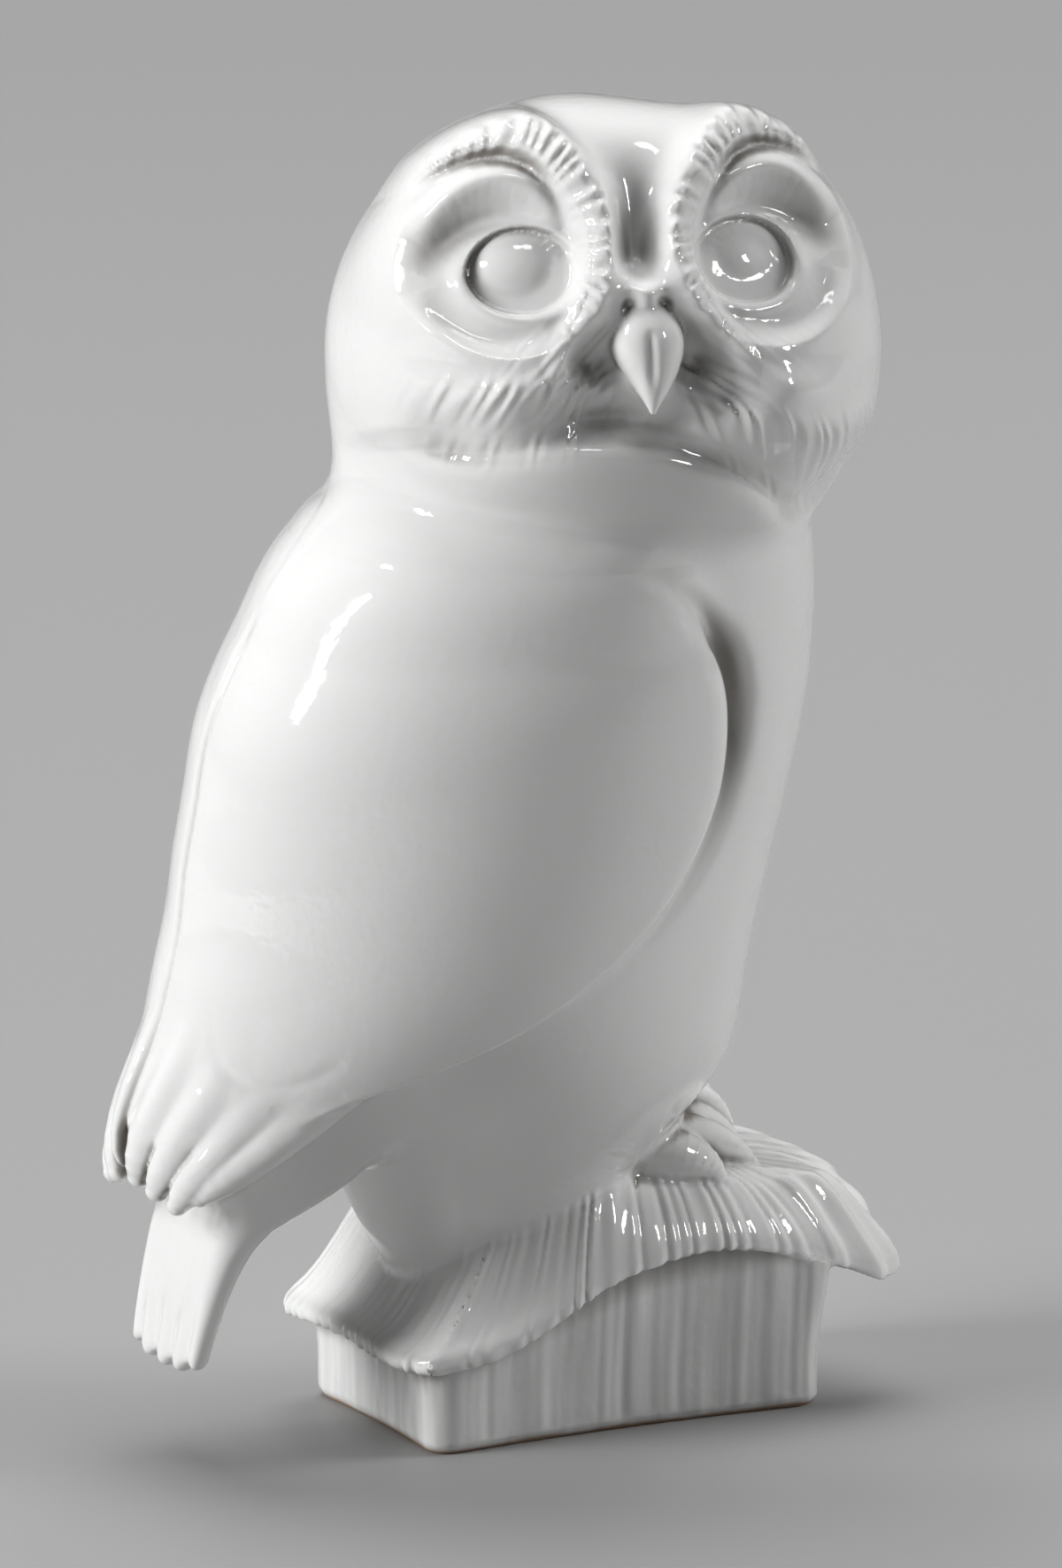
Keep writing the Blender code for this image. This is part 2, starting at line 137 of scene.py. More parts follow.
def strand(p, points, count=10, reach=7.0):
    """A rod through points given as x, y, z, radius. Away from it the field is simply FAR."""
    path = smooth_path(points, count)
    thickest = path[:, 3].max() + reach
    near = np.all((p > path[:, :3].min(0) - thickest) & (p < path[:, :3].max(0) + thickest), axis=1)
    field = np.full(len(p), FAR)
    if near.any():
        distance, where = nearest_on_path(p[near], path[:, :3])
        field[near] = distance - np.interp(where, np.arange(count), path[:, 3])
    return field


def ovals(p, sections):
    """A form given by oval sections: splines of front, back, half width and sideways shift over height."""
    front, back, half, shift = (curve(p[:, 2]) for curve in sections)
    depth, middle = (back - front) / 2, (back + front) / 2
    u, v = (p[:, 0] - shift) / half, (p[:, 1] - middle) / depth
    size = np.sqrt(u * u + v * v)
    steepness = np.sqrt((u / half) ** 2 + (v / depth) ** 2) + 1e-9
    return size * (size - 1) / steepness


def ellipsoid(p, centre, half):
    n = (p - centre) / half
    size = np.linalg.norm(n, axis=1)
    return size * (size - 1) / (np.linalg.norm(n / half, axis=1) + 1e-9)


def section_curves(table):
    rows = np.array(table)
    return [smooth_curve(rows[:, 0], rows[:, k]) for k in range(1, rows.shape[1])]


def mirrored(p):
    return p * np.array((-1.0, 1.0, 1.0))


# ---------------------------------------------------------------- trunk and wings
# height, front, back, half width, sideways shift of the middle
TRUNK = section_curves((
    (26.0, 6.0, 34.0, 12.0, 0.0),
    (36.0, -3.0, 42.0, 18.0, 0.0),
    (46.0, -11.0, 47.0, 24.0, 0.0),
    (57.0, -19.0, 53.0, 31.0, 0.0),
    (70.0, -30.0, 63.0, 38.5, 0.0),
    (87.0, -34.5, 73.0, 44.0, 0.0),
    (105.0, -38.5, 77.5, 46.0, 0.0),
    (123.0, -43.5, 76.5, 46.0, 0.0),
    (141.0, -48.0, 72.0, 45.5, 0.0),
    (160.0, -50.0, 66.0, 44.5, -0.5),
    (177.0, -48.5, 55.0, 43.0, -2.0),
    (190.0, -45.5, 47.0, 42.0, -3.6),
    (203.0, -43.5, 43.5, 40.5, -4.6),
    (216.0, -41.0, 40.5, 36.0, -4.6),
))
# height, front, back, half width, shift, and where the wing's front edge crosses
WING = section_curves((
    (50.0, 66.0, 98.0, 16.0, 0.0, 98.0),
    (54.0, 62.0, 98.5, 18.0, 0.0, 95.0),
    (62.0, 34.0, 98.0, 26.0, 0.0, 87.0),
    (69.0, 8.0, 96.5, 33.0, 0.0, 79.5),
    (78.0, -18.0, 93.0, 39.5, 0.0, 59.0),
    (87.0, -29.0, 89.5, 44.5, 0.0, 36.5),
    (96.0, -33.0, 87.0, 47.3, 0.0, 20.5),
    (105.0, -37.0, 84.5, 49.0, 0.0, 8.0),
    (117.0, -41.0, 82.5, 50.3, 0.0, -4.0),
    (130.0, -45.0, 80.0, 51.0, 0.0, -11.5),
    (143.0, -47.5, 77.5, 51.0, 0.0, -14.0),
    (156.0, -49.0, 72.0, 50.0, 0.0, -12.5),
    (168.0, -49.0, 64.8, 48.0, -0.3, -5.0),
    (180.0, -48.0, 56.0, 44.8, -2.2, 9.0),
))
WING_SKIN = 9.0                 # how deep a wing reaches under its own outer side
# Ridges of the long feathers of the right wing, from the wrist to the tip: x, y, z, radius
FEATHERS = (
    ((-7.0, 77.0, 96.0, 5.0), (-6.0, 87.6, 78.0, 5.2), (-3.6, 94.2, 64.5, 4.4), (-2.0, 95.6, 58.0, 2.4)),
    ((-16.0, 72.0, 92.0, 5.0), (-14.0, 85.0, 74.5, 5.0), (-10.4, 92.6, 62.0, 4.2), (-8.4, 94.8, 56.4, 2.4)),
    ((-23.0, 65.0, 88.0, 5.0), (-20.6, 80.0, 71.5, 4.8), (-16.2, 90.0, 59.6, 4.0), (-14.2, 93.2, 54.6, 2.2)),
    ((-29.0, 56.0, 84.0, 4.6), (-26.0, 73.0, 71.0, 4.4), (-20.6, 85.4, 61.0, 3.6), (-17.8, 90.0, 56.6, 2.0)),
)
# Hollows between them and round the ends of the shorter feathers: x, y, z, radius
SHORT_FEATHERS = (
    ((-4.0, 84.0, 118.0), (-4.5, 86.5, 110.0), (-8.0, 87.2, 104.5), (-14.0, 84.0, 106.5), (-17.0, 81.0, 111.0)),
    ((-13.0, 86.5, 96.0), (-16.5, 87.0, 86.0), (-22.5, 83.5, 79.5), (-30.0, 75.0, 80.0), (-35.0, 67.0, 85.0)),
    ((-27.5, 79.5, 75.5), (-31.0, 74.0, 74.5), (-35.0, 66.5, 78.0)),
)


TRUNK_FLOOR, NECK_TOP = 27.0, 212.0


# height against the depth of the hollow between breast and wing, and its distance ahead of the wing's edge
ARMPIT_DEPTH = smooth_curve((80.0, 95.0, 112.0, 130.0, 148.0, 160.0, 172.0, 184.0), (0.2, 0.3, 1.2, 3.4, 5.8, 5.4, 2.4, 0.0))
ARMPIT_WIDTH, ARMPIT_AHEAD = 4.6, 2.0


# heights, and the x at which the two wings meet there: the right wing laps over the left one
PARTING = ((62.0, 96.0, 115.0, 160.0, 180.0), (3.4, 3.0, 5.5, 5.5, 3.5))


def trunk(p):
    z = p[:, 2]
    body = ovals(p, TRUNK)
    ahead = WING[4](z) - ARMPIT_AHEAD - p[:, 1]
    width = np.where(ahead > 0, ARMPIT_WIDTH, 2 * ARMPIT_WIDTH)
    body = body + ARMPIT_DEPTH(z) * bump(ahead, width) * ease(20.0, 34.0, np.abs(p[:, 0]))
    return trim(np.maximum(body, TRUNK_FLOOR - z), z - NECK_TOP, 12.0)


def wing_form(p):
    """The right wing and a little beyond it: a shell with a rolled front edge and long feathers."""
    z = p[:, 2]
    shell = ovals(p, WING[:4])
    shell = trim(shell, -shell - WING_SKIN, 2.0)
    edge = (WING[4](z) - p[:, 1]) * 0.78
    wing = trim(shell, edge, 2.4 + 3.2 * ease(95.0, 130.0, z))
    wing = trim(wing, z - 182.0, 14.0)
    tips = FAR
    for feather in FEATHERS:
        tips = melt(tips, strand(p, feather), 0.8)
    wing = trim(wing, 66.0 - z, 3.0)
    wing = melt(wing, tips, 2.0)
    for hollow in SHORT_FEATHERS:
        path = smooth_path(hollow, 12)
        near = (np.abs(wing) < 4.0) & np.all((p > path.min(0) - 8.0) & (p < path.max(0) + 8.0), axis=1)
        if near.any():
            distance, where = nearest_on_path(p[near], path)
            fade = np.sin(np.clip(where / 11, 0, 1) * math.pi) ** 0.5
            wing[near] += 0.38 * bump(distance, 1.4) * fade
    return trim(wing, p[:, 0] - WING_LAP, 2.0)


WING_LAP = 9.0


def right_wing(p):
    return trim(wing_form(p), p[:, 0] - np.interp(p[:, 2], *PARTING) + 0.15, 2.6)


def left_wing(p):
    beyond = np.interp(p[:, 2], *PARTING) - p[:, 0] + 0.15
    return trim(wing_form(mirrored(p)), beyond, 2.6)


# ---------------------------------------------------------------- tail
# height, middle, half thickness, half width
TAIL = section_curves((
    (17.0, 88.7, 2.0, 13.0),
    (20.0, 88.2, 2.4, 13.6),
    (30.0, 85.8, 3.0, 15.0),
    (41.0, 82.0, 4.0, 16.5),
    (47.0, 78.0, 6.5, 17.5),
    (52.0, 72.5, 11.0, 18.5),
    (57.0, 69.5, 16.0, 19.5),
    (64.0, 66.0, 20.0, 20.5),
    (76.0, 61.0, 24.0, 22.0),
))
TAIL_TIP = 18.0
TAIL_FEATHERS = 4


def tail(p):
    z = p[:, 2]
    middle, thick, half = (curve(z) for curve in TAIL)
    across, through = np.abs(p[:, 0]), p[:, 1] - middle
    corner = np.minimum(thick * 0.9, 6.0)
    dx, dy = across - half + corner, np.abs(through) - thick + corner
    field = np.hypot(np.maximum(dx, 0), np.maximum(dy, 0)) + np.minimum(np.maximum(dx, dy), 0) - corner
    lobe = np.cos(p[:, 0] / (half * 2) * TAIL_FEATHERS * math.tau)
    low = 1 - ease(TAIL_TIP + 4.0, TAIL_TIP + 20.0, z)
    field = field + 0.55 * (1 - lobe) * 0.5 * low * 1.6
    end = TAIL_TIP + 1.6 * (1 - lobe) * 0.5 + 0.008 * across**2 - z
    field = trim(field, end, 2.4)
    return np.maximum(field, z - 78.0)


# ---------------------------------------------------------------- cover and plinth
# The rim of the cover from the back right corner along the owl's right side, then round the front.
RIM = (
    (-29.8, 46.2, 16.5),
    (-31.0, 32.0, 18.2),
    (-31.0, 16.0, 23.6),
    (-31.0, 4.0, 28.5),
    (-31.0, -8.0, 31.8),
    (-31.0, -20.0, 32.8),
    (-30.5, -32.0, 30.8),
    (-29.0, -42.0, 28.0),
    (-27.4, -54.0, 23.0),
    (-22.6, -63.2, 21.6),
    (-13.0, -62.0, 31.0),
    (-4.0, -60.5, 36.5),
    (6.0, -59.0, 39.0),
    (18.0, -55.5, 40.0),
    (28.0, -48.0, 41.0),
    (31.5, -32.0, 38.0),
    (31.5, -12.0, 33.0),
    (31.5, 12.0, 26.0),
    (31.5, 32.0, 20.0),
    (30.5, 48.5, 16.5),
    (18.0, 50.0, 16.3),
    (0.0, 50.0, 17.0),
    (-18.0, 50.0, 16.3),
)
COVER_THICKNESS = 4.4
COVER_MIDDLE = np.array((0.0, -12.0))
RIB_SPACING = 3.9
CROWN = smooth_curve((-64.0, -50.0, -30.0, -10.0, 10.0, 25.0, 36.0, 44.0, 50.0), (40.0, 44.5, 48.5, 52.0, 48.5, 45.0, 41.0, 36.0, 32.0))


def around_rim():
    """Radius, rim height and distance along the rim, as tables over the angle about the cover's middle."""
    count = len(RIM) * 12
    loop = smooth_path(RIM + RIM[:1], count + 1)[:-1]
    offset = loop[:, :2] - COVER_MIDDLE
    angle = np.arctan2(offset[:, 0], offset[:, 1])
    order = np.argsort(angle)
    step = np.linalg.norm(np.diff(loop[:, :2], axis=0, append=loop[:1, :2]), axis=1)
    along = np.concatenate(([0.0], np.cumsum(step)[:-1]))
    return angle[order], np.hypot(*offset.T)[order], loop[order, 2], along[order]


RIM_ANGLE, RIM_RADIUS, RIM_HEIGHT, RIM_ALONG = around_rim()


def on_rim(angle, values):
    return np.interp(angle, RIM_ANGLE, values, period=math.tau)


def FOLDED(along):
    """1 along the tongue over the front corner, where the cover lies in broad folds."""
    return ease(80.0, 100.0, along) * (1 - ease(165.0, 185.0, along))


def rib_wave(angle, radius):
    """Rounded ribs, of uneven width and strength, that run out from the breast to the rim."""
    along = on_rim(angle, RIM_ALONG)
    wander = 1.1 * np.sin(along * 0.21) + 0.7 * np.sin(along * 0.53 + 1.3) + 0.8 * np.sin(radius * 0.16 + along * 0.11)
    phase = (along + wander) / RIB_SPACING * math.pi
    strength = 0.6 + 0.25 * np.sin(along * 0.37 + radius * 0.05) + 0.25 * np.sin(along * 0.97 + 0.4)
    folds = 0.9 * np.sin(along * 0.62 + 0.5) * FOLDED(along)
    fine = (np.sqrt(np.sin(phase) ** 2 + 0.15) - 0.65) * 1.2 * strength
    return fine * (1 - 0.75 * FOLDED(along)) + folds


def cover_shape(p):
    """How far a point is inside the rim, and the cover's upper side and rim height over it."""
    offset = p[:, :2] - COVER_MIDDLE
    radius = np.hypot(*offset.T)
    angle = np.arctan2(offset[:, 0], offset[:, 1])
    ribs = rib_wave(angle, radius)
    inside = on_rim(angle, RIM_RADIUS) + 0.8 * ribs - radius
    rim = on_rim(angle, RIM_HEIGHT) - 0.5 * ribs
    back_rise = 0.26 * ease(0.0, 32.0, p[:, 1]) * p[:, 0]
    crown = CROWN(p[:, 1]) + back_rise
    rear = ease(6.0, 34.0, p[:, 1])
    reach = 11.0 + 8.0 * ease(-26.0, -58.0, p[:, 1]) + 12.0 * rear
    share = np.clip(inside / reach, 0.0, 1.0)
    near = ease(6.0, -8.0, p[:, 1]) * ease(-6.0, -20.0, p[:, 0]) * (1 - ease(-30.0, -44.0, p[:, 1]))
    round_over = np.sin(share * math.pi / 2)
    climb = (1 - rear) * round_over + rear * (0.35 * share + 0.65 * ease(0.0, 1.0, share))
    climb += 0.4 * near * (np.clip(inside / 18.0, 0.0, 1.0) - round_over)
    top = rim + COVER_THICKNESS + (crown - rim - COVER_THICKNESS) * climb
    relief = 0.22 * ribs * ease(0.0, 3.0, inside) * (1 - 0.8 * ease(9.0, 22.0, inside))
    return inside, top + relief, rim


def cover(p):
    inside, top, rim = cover_shape(p)
    over = (p[:, 2] - top) * 0.72
    under = (rim - p[:, 2] + (top - rim - COVER_THICKNESS) * 0.75) * 0.8
    return trim(trim(over, under, 3.2), -inside * 0.95, 3.8)


PLINTH_HALF = np.array((28.0, 44.0))
PLINTH_HOLLOW = np.array((2.4, 1.6))
PLINTH_CORNER = 3.2
VENT_AT, VENT_RADIUS, VENT_DEPTH = (0.0, 22.0), 6.0, 7.0


def plinth(p):
    """Walls hollowed in plan, leaning out under the cover, with fine upright striations."""
    x, y, z = p.T
    lean = 1.6 * ease(8.0, 30.0, z) - 0.7 * (1 - ease(0.0, 2.2, z))
    flank = 0.15 * np.sin(y * 0.62 + 1.4 * np.sin(y * 0.23)) * (0.6 + 0.4 * np.sin(y * 0.37 + 2.0))
    flank += 0.05 * np.sin(y * 1.9 + 2.0 * np.sin(y * 0.17)) * (0.5 + 0.5 * np.sin(y * 0.45))
    end = 0.12 * np.sin(x * 0.7 + 1.5 * np.sin(x * 0.4)) + 0.03 * np.sin(x * 2.1 + 1.0)
    streaks = ease(1.0, 4.0, z)
    wide = np.abs(x) - PLINTH_HALF[0] - lean + PLINTH_HOLLOW[0] * (1 - (y / PLINTH_HALF[1]) ** 2)
    long = np.abs(y) - PLINTH_HALF[1] - lean + PLINTH_HOLLOW[1] * (1 - (x / PLINTH_HALF[0]) ** 2)
    wall = trim(wide + flank * streaks, long + end * streaks, 2 * PLINTH_CORNER)
    inside, top, rim = cover_shape(p)
    lid = z - np.minimum(top - 2.5, rim + 6.0)
    box = np.maximum(trim(wall, -z, 0.8), lid)
    vent = np.hypot(x - VENT_AT[0], y - VENT_AT[1]) - VENT_RADIUS
    return np.maximum(box, -np.maximum(vent, z - VENT_DEPTH))


# ---------------------------------------------------------------- head
HEAD_CENTRE = np.array((-7.0, -4.0, 215.5))
HEAD_HALF = np.array((55.0, 47.0, 51.5))    # across the face, out of the face, up
HEAD_TURN, HEAD_PITCH, HEAD_ROLL = math.radians(-104.0), math.radians(22.0), math.radians(2.0)


def head_axes():
    """Columns: the owl's left, out of the face, up."""
    face = np.array((math.sin(HEAD_TURN), -math.cos(HEAD_TURN), 0.0))
    left = np.array((math.cos(HEAD_TURN), math.sin(HEAD_TURN), 0.0))
    up = np.array((0.0, 0.0, 1.0))
    forward = face * math.cos(HEAD_PITCH) + up * math.sin(HEAD_PITCH)
    crown = up * math.cos(HEAD_PITCH) - face * math.sin(HEAD_PITCH)
    side = left * math.cos(HEAD_ROLL) + crown * math.sin(HEAD_ROLL)
    return np.stack([side, forward, crown * math.cos(HEAD_ROLL) - left * math.sin(HEAD_ROLL)], axis=1)


HEAD_AXES = head_axes()

# Paths on the face, as distance from its middle line and height: ridges and hollows of one half.
CREST = np.array((
    (21.5, -12.5), (17.0, -8.0), (12.8, -3.2), (9.6, 2.2), (7.6, 8.5), (6.8, 15.0), (7.4, 21.0), (9.6, 26.8),
    (12.8, 32.4), (16.6, 37.2), (20.2, 39.6), (25.5, 39.4), (31.0, 37.6), (37.0, 34.8), (43.0, 30.0),
))
CREST_HEIGHTS = (0.0, 2.0, 3.2, 3.6, 3.6, 3.6, 3.6, 3.8, 4.4, 5.0, 5.2, 4.0, 3.0, 2.0, 0.0)
BAND_WIDTHS = (1.0, 1.4, 1.8, 2.0, 2.2, 2.6, 3.4, 4.2, 5.0, 5.4, 5.2, 3.6, 2.4, 1.8, 1.2)
CREST_PIVOT = np.array((25.5, 12.0))
CREST_STEPS = 200


def crest_tables():
    """The crest as seen from its pivot: turn, radius, height, width of its feathered band, length along it."""
    path = smooth_path(CREST, CREST_STEPS)
    outward = path - CREST_PIVOT
    turn = np.mod(-np.arctan2(outward[:, 1], outward[:, 0]), math.tau)
    number = np.linspace(0, len(CREST) - 1, CREST_STEPS)
    rise, band = (np.interp(number, np.arange(len(CREST)), values) for values in (CREST_HEIGHTS, BAND_WIDTHS))
    length = np.concatenate(([0.0], np.cumsum(np.linalg.norm(np.diff(path, axis=0), axis=1))))
    return turn, np.hypot(*outward.T), rise, band, length


CREST_TURN, CREST_RADIUS, CREST_RISE, CREST_BAND, CREST_LENGTH = crest_tables()
STROKE_SPACING = 3.1
BROW_GROOVE = ((13.0, 8.0), (12.6, 14.0), (13.6, 20.0), (16.4, 26.4), (20.6, 30.6), (26.0, 32.6), (32.0, 32.4), (38.0, 29.6), (43.5, 24.5))
LID_ROLL = ((15.0, 17.0), (17.0, 22.6), (21.0, 26.6), (26.4, 28.4), (32.4, 27.4), (37.6, 23.6), (41.5, 18.0))
LID_HOLLOW = ((12.6, 10.5), (14.4, 16.0), (19.0, 19.6), (25.0, 20.6), (31.0, 19.2), (36.0, 15.4), (39.6, 10.6))
EYE_MIDDLE = np.array((21.9, 9.7))
EYE_OPENING = np.array((10.9, 9.4))
LOWER_FOLD = ((42.5, 8.0), (40.5, 1.0), (35.5, -5.0), (28.5, -8.2), (21.0, -8.0), (16.0, -5.0))
LOWER_HOLLOW = ((39.5, 8.0), (37.0, 2.2), (32.0, -2.6), (25.5, -4.2), (19.5, -3.4))
RUFF = smooth_curve(
    (-54.0, -45.0, -32.0, -19.0, -8.0, 2.0, 10.0, 21.0, 31.0, 42.0, 52.0),
    (-16.0, -19.0, -22.8, -22.3, -22.6, -24.4, -26.6, -30.6, -33.5, -30.0, -24.0),
)


def face_path(flat, points, width, softness=1.0):
    """1 on a path across the face, fading to its sides and to its ends."""
    path = smooth_path(points, 16)
    distance, where = nearest_on_path(flat, path)
    return bump(distance, width) * np.sin(np.clip(where / 15, 0, 1) * math.pi) ** softness


def plume(x, z, pitch):
    """Uneven strokes of small feathers running down, -1 to 1."""
    drift = 1.3 * np.sin(x * 0.37 + 0.8) + 0.9 * np.sin(x * 0.91 + z * 0.16) + 0.7 * np.sin(z * 0.55 + x * 0.2)
    wave = np.sin(x * math.tau / pitch + drift)
    return wave * (0.65 + 0.35 * np.sin(x * 0.77 + z * 0.31 + 2.0))


def brow(flat):
    """The crest over each eye: smooth towards the forehead, with a band of short feathers towards the eye."""
    outward = flat - CREST_PIVOT
    turn = np.mod(-np.arctan2(outward[:, 1], outward[:, 0]), math.tau)
    beyond = np.hypot(*outward.T) - np.interp(turn, CREST_TURN, CREST_RADIUS)
    rise = np.interp(turn, CREST_TURN, CREST_RISE, left=0.0, right=0.0)
    band = np.interp(turn, CREST_TURN, CREST_BAND)
    length = np.interp(turn, CREST_TURN, CREST_LENGTH)
    gentle = 3.6 + 3.0 * ease(56.0, 80.0, length)
    share = -beyond / band
    inner = np.where(share < 1, 1 - 0.28 * share**2, 0.72 * bump((share - 1) * band, 2.0))
    form = rise * np.where(beyond > 0, bump(beyond, gentle), inner)
    drift = 2.0 * np.sin(length * 0.23) + 1.2 * np.sin(length * 0.61 + 1.0)
    strokes = np.sin(length / STROKE_SPACING * math.tau + drift + 0.5 * beyond)
    whole = CREST_LENGTH[-1]
    ends = ease(6.0, 16.0, length) * (1 - ease(whole - 18.0, whole - 3.0, length))
    depth = (0.34 + 0.12 * np.sin(length * 0.57 + 2.0)) * ends * (1 - 0.45 * ease(48.0, 66.0, length))
    window = (1 - ease(-0.4, 1.4, beyond)) * ease(-2.6, 0.0, beyond + band)
    beads = 0.30 * np.sin(length / (STROKE_SPACING * 1.5) * math.tau + 1.0) * bump(beyond, 1.2)
    return form + depth * strokes * window + beads * ends


FACE_SHIFT, FACE_TILT = -1.6, 0.037     # the face sits a little aside and askew in the head


def face_relief(q):
    """How far the face stands out from the head's plain form, in the head's own frame."""
    x, y, z = q.T
    lean = FACE_SHIFT + 0.1 * np.maximum(z - 10.0, 0.0)
    z = z + FACE_TILT * (x - lean)
    flat = np.stack([np.sqrt((x - lean) ** 2 + 2.2) - 0.35, z], axis=1)
    relief = np.zeros(len(q))

    bowl = np.linalg.norm((flat - (25.5, 12.0)) / (19.5, 20.5), axis=1)
    relief -= 4.6 * np.clip(1 - bowl * bowl, 0, None)
    relief += brow(flat)
    relief -= 1.5 * face_path(flat, BROW_GROOVE, 1.9, 0.8)
    relief += 2.4 * face_path(flat, LID_ROLL, 3.0, 0.8)
    relief -= 3.1 * face_path(flat, LID_HOLLOW, 3.4, 0.9)
    relief += 1.3 * face_path(flat, LOWER_FOLD, 3.2)
    relief -= 1.1 * face_path(flat, LOWER_HOLLOW, 2.4)

    opening = np.linalg.norm((flat - EYE_MIDDLE) / EYE_OPENING, axis=1)
    relief += 0.9 * bump((opening - 1.1) * 9.0, 1.3) * (1 - ease(-3.0, 5.0, z - EYE_MIDDLE[1]))
    relief -= 2.0 * (1 - ease(0.86, 1.02, opening))

    valley = 3.2 + 0.14 * np.clip(z - 8.0, 0.0, 30.0)
    relief -= 5.8 * bump(flat[:, 0], valley) * ease(2.0, 12.0, z) * (1 - ease(11.0, 40.0, z))
    relief += 4.2 * bump(np.linalg.norm((flat - (0.0, 2.4)) / (1.25, 1.0), axis=1), 4.6)
    relief -= 2.6 * bump(np.linalg.norm((flat - (3.3, 0.4)) / (1.0, 1.3), axis=1), 1.4)
    relief -= 9.0 * bump(np.linalg.norm((flat - (9.8, -9.5)) / (1.15, 1.1), axis=1), 4.8)
    relief -= 7.0 * bump(np.linalg.norm((flat - (8.0, -18.0)) / (2.2, 1.0), axis=1), 4.8)
    relief += 3.3 * bump(np.linalg.norm((flat - (27.0, -17.5)) / (1.5, 1.0), axis=1), 6.2)
    relief += 0.30 * plume(x * 0.8 + 0.9 * z * np.tanh((x - lean) / 5.0), x, 2.6) * bump(
        np.linalg.norm((flat - (14.0, -12.0)) / (1.4, 1.0), axis=1), 7.0)

    below = RUFF(x) - z
    ruffled = ease(-50.0, -36.0, x) * (1 - 0.7 * ease(38.0, 50.0, x))
    strokes = plume(x + 0.45 * (z + 22.0) * np.tanh(x / 6.0), z, 3.3) * ease(3.0, 12.0, np.abs(x))
    relief += 1.3 * bump(below + 8.6, 3.6) * ruffled
    relief -= (4.6 + 0.12 * strokes) * bump(below + 1.0, 4.4) * ruffled
    relief -= 1.6 * ease(-1.5, 2.5, below)
    relief += 0.6 * strokes * bump(below + 6.0, 3.4) * ruffled
    relief -= 2.6 * bump(np.linalg.norm(np.stack([x - 14.0, z - 50.0], axis=1) / (1.4, 1.0), axis=1), 10.0)
    return relief * ease(-6.0, 8.0, y)


def head(p):
    """The head: a rounded box towards the face and an egg behind, with the face's relief near its skin."""
    q = (p - HEAD_CENTRE) @ HEAD_AXES
    n = q / HEAD_HALF
    size = np.linalg.norm(n, axis=1) + 1e-9
    front = np.clip(n[:, 1] / size, 0.0, 1.0)
    power = 2.0 + 1.2 * front**1.8 * np.clip(1.0 + n[:, 2] / size, 0.0, 1.0)
    reach = np.sum(np.abs(n) ** power[:, None], axis=1) ** (1 / power)
    field = (reach - 1) * np.linalg.norm(q, axis=1) / (reach + 1e-9)
    facing = (np.abs(field) < RELIEF_REACH) & (q[:, 1] > FACE_START)
    if facing.any():
        field[facing] -= face_relief(q[facing])
    return field * 0.85


RELIEF_REACH, FACE_START = 14.0, -6.0


EYE_HALF = np.array((12.0, 9.6, 10.4))
EYE_FRONT = np.array((24.2, 40.2, 9.6))
EYE_SPLAY = math.radians(21.0)


def eye(p, side):
    q = (p - HEAD_CENTRE) @ HEAD_AXES - np.array((FACE_SHIFT, 0.0, 0.0))
    q[:, 2] += FACE_TILT * q[:, 0]
    q = q * np.array((side, 1.0, 1.0)) - EYE_FRONT
    c, s = math.cos(EYE_SPLAY), math.sin(EYE_SPLAY)
    turned = np.stack([c * q[:, 0] - s * q[:, 1], s * q[:, 0] + c * q[:, 1], q[:, 2]], axis=1)
    return ellipsoid(turned, np.array((0.0, -EYE_HALF[1], 0.0)), EYE_HALF)


def beak(p):
    """A hooked beak with a keel down each side of a shallow middle groove."""
    q = (p - HEAD_CENTRE) @ HEAD_AXES - np.array((FACE_SHIFT, 0.0, 0.0))
    groove = 0.7 * bump(q[:, 0] + 0.5, 1.0) * ease(-18.0, -12.0, q[:, 2]) * (1 - ease(-7.0, -4.0, q[:, 2]))
    return strand(q, BEAK_SPINE, count=40) + groove * ease(40.0, 46.0, q[:, 1])


# distance from the face's middle line, out of the face, height, radius
BEAK_SPINE = (
    (0.0, 42.6, 2.0, 5.0), (0.2, 43.4, -3.2, 6.9), (0.3, 44.0, -8.0, 7.0), (0.2, 44.6, -12.5, 5.2),
    (-0.2, 45.2, -16.5, 2.8), (-0.6, 45.4, -20.0, 0.7),
)


# ---------------------------------------------------------------- feet
def foot(p, ankle, toes):
    """A feathered ankle with three toes that end in claws over the front of the cover."""
    centre, half = ankle
    field = ellipsoid(p, np.array(centre), np.array(half))
    for toe in toes:
        field = melt(field, strand(p, toe), 1.4)
    return field


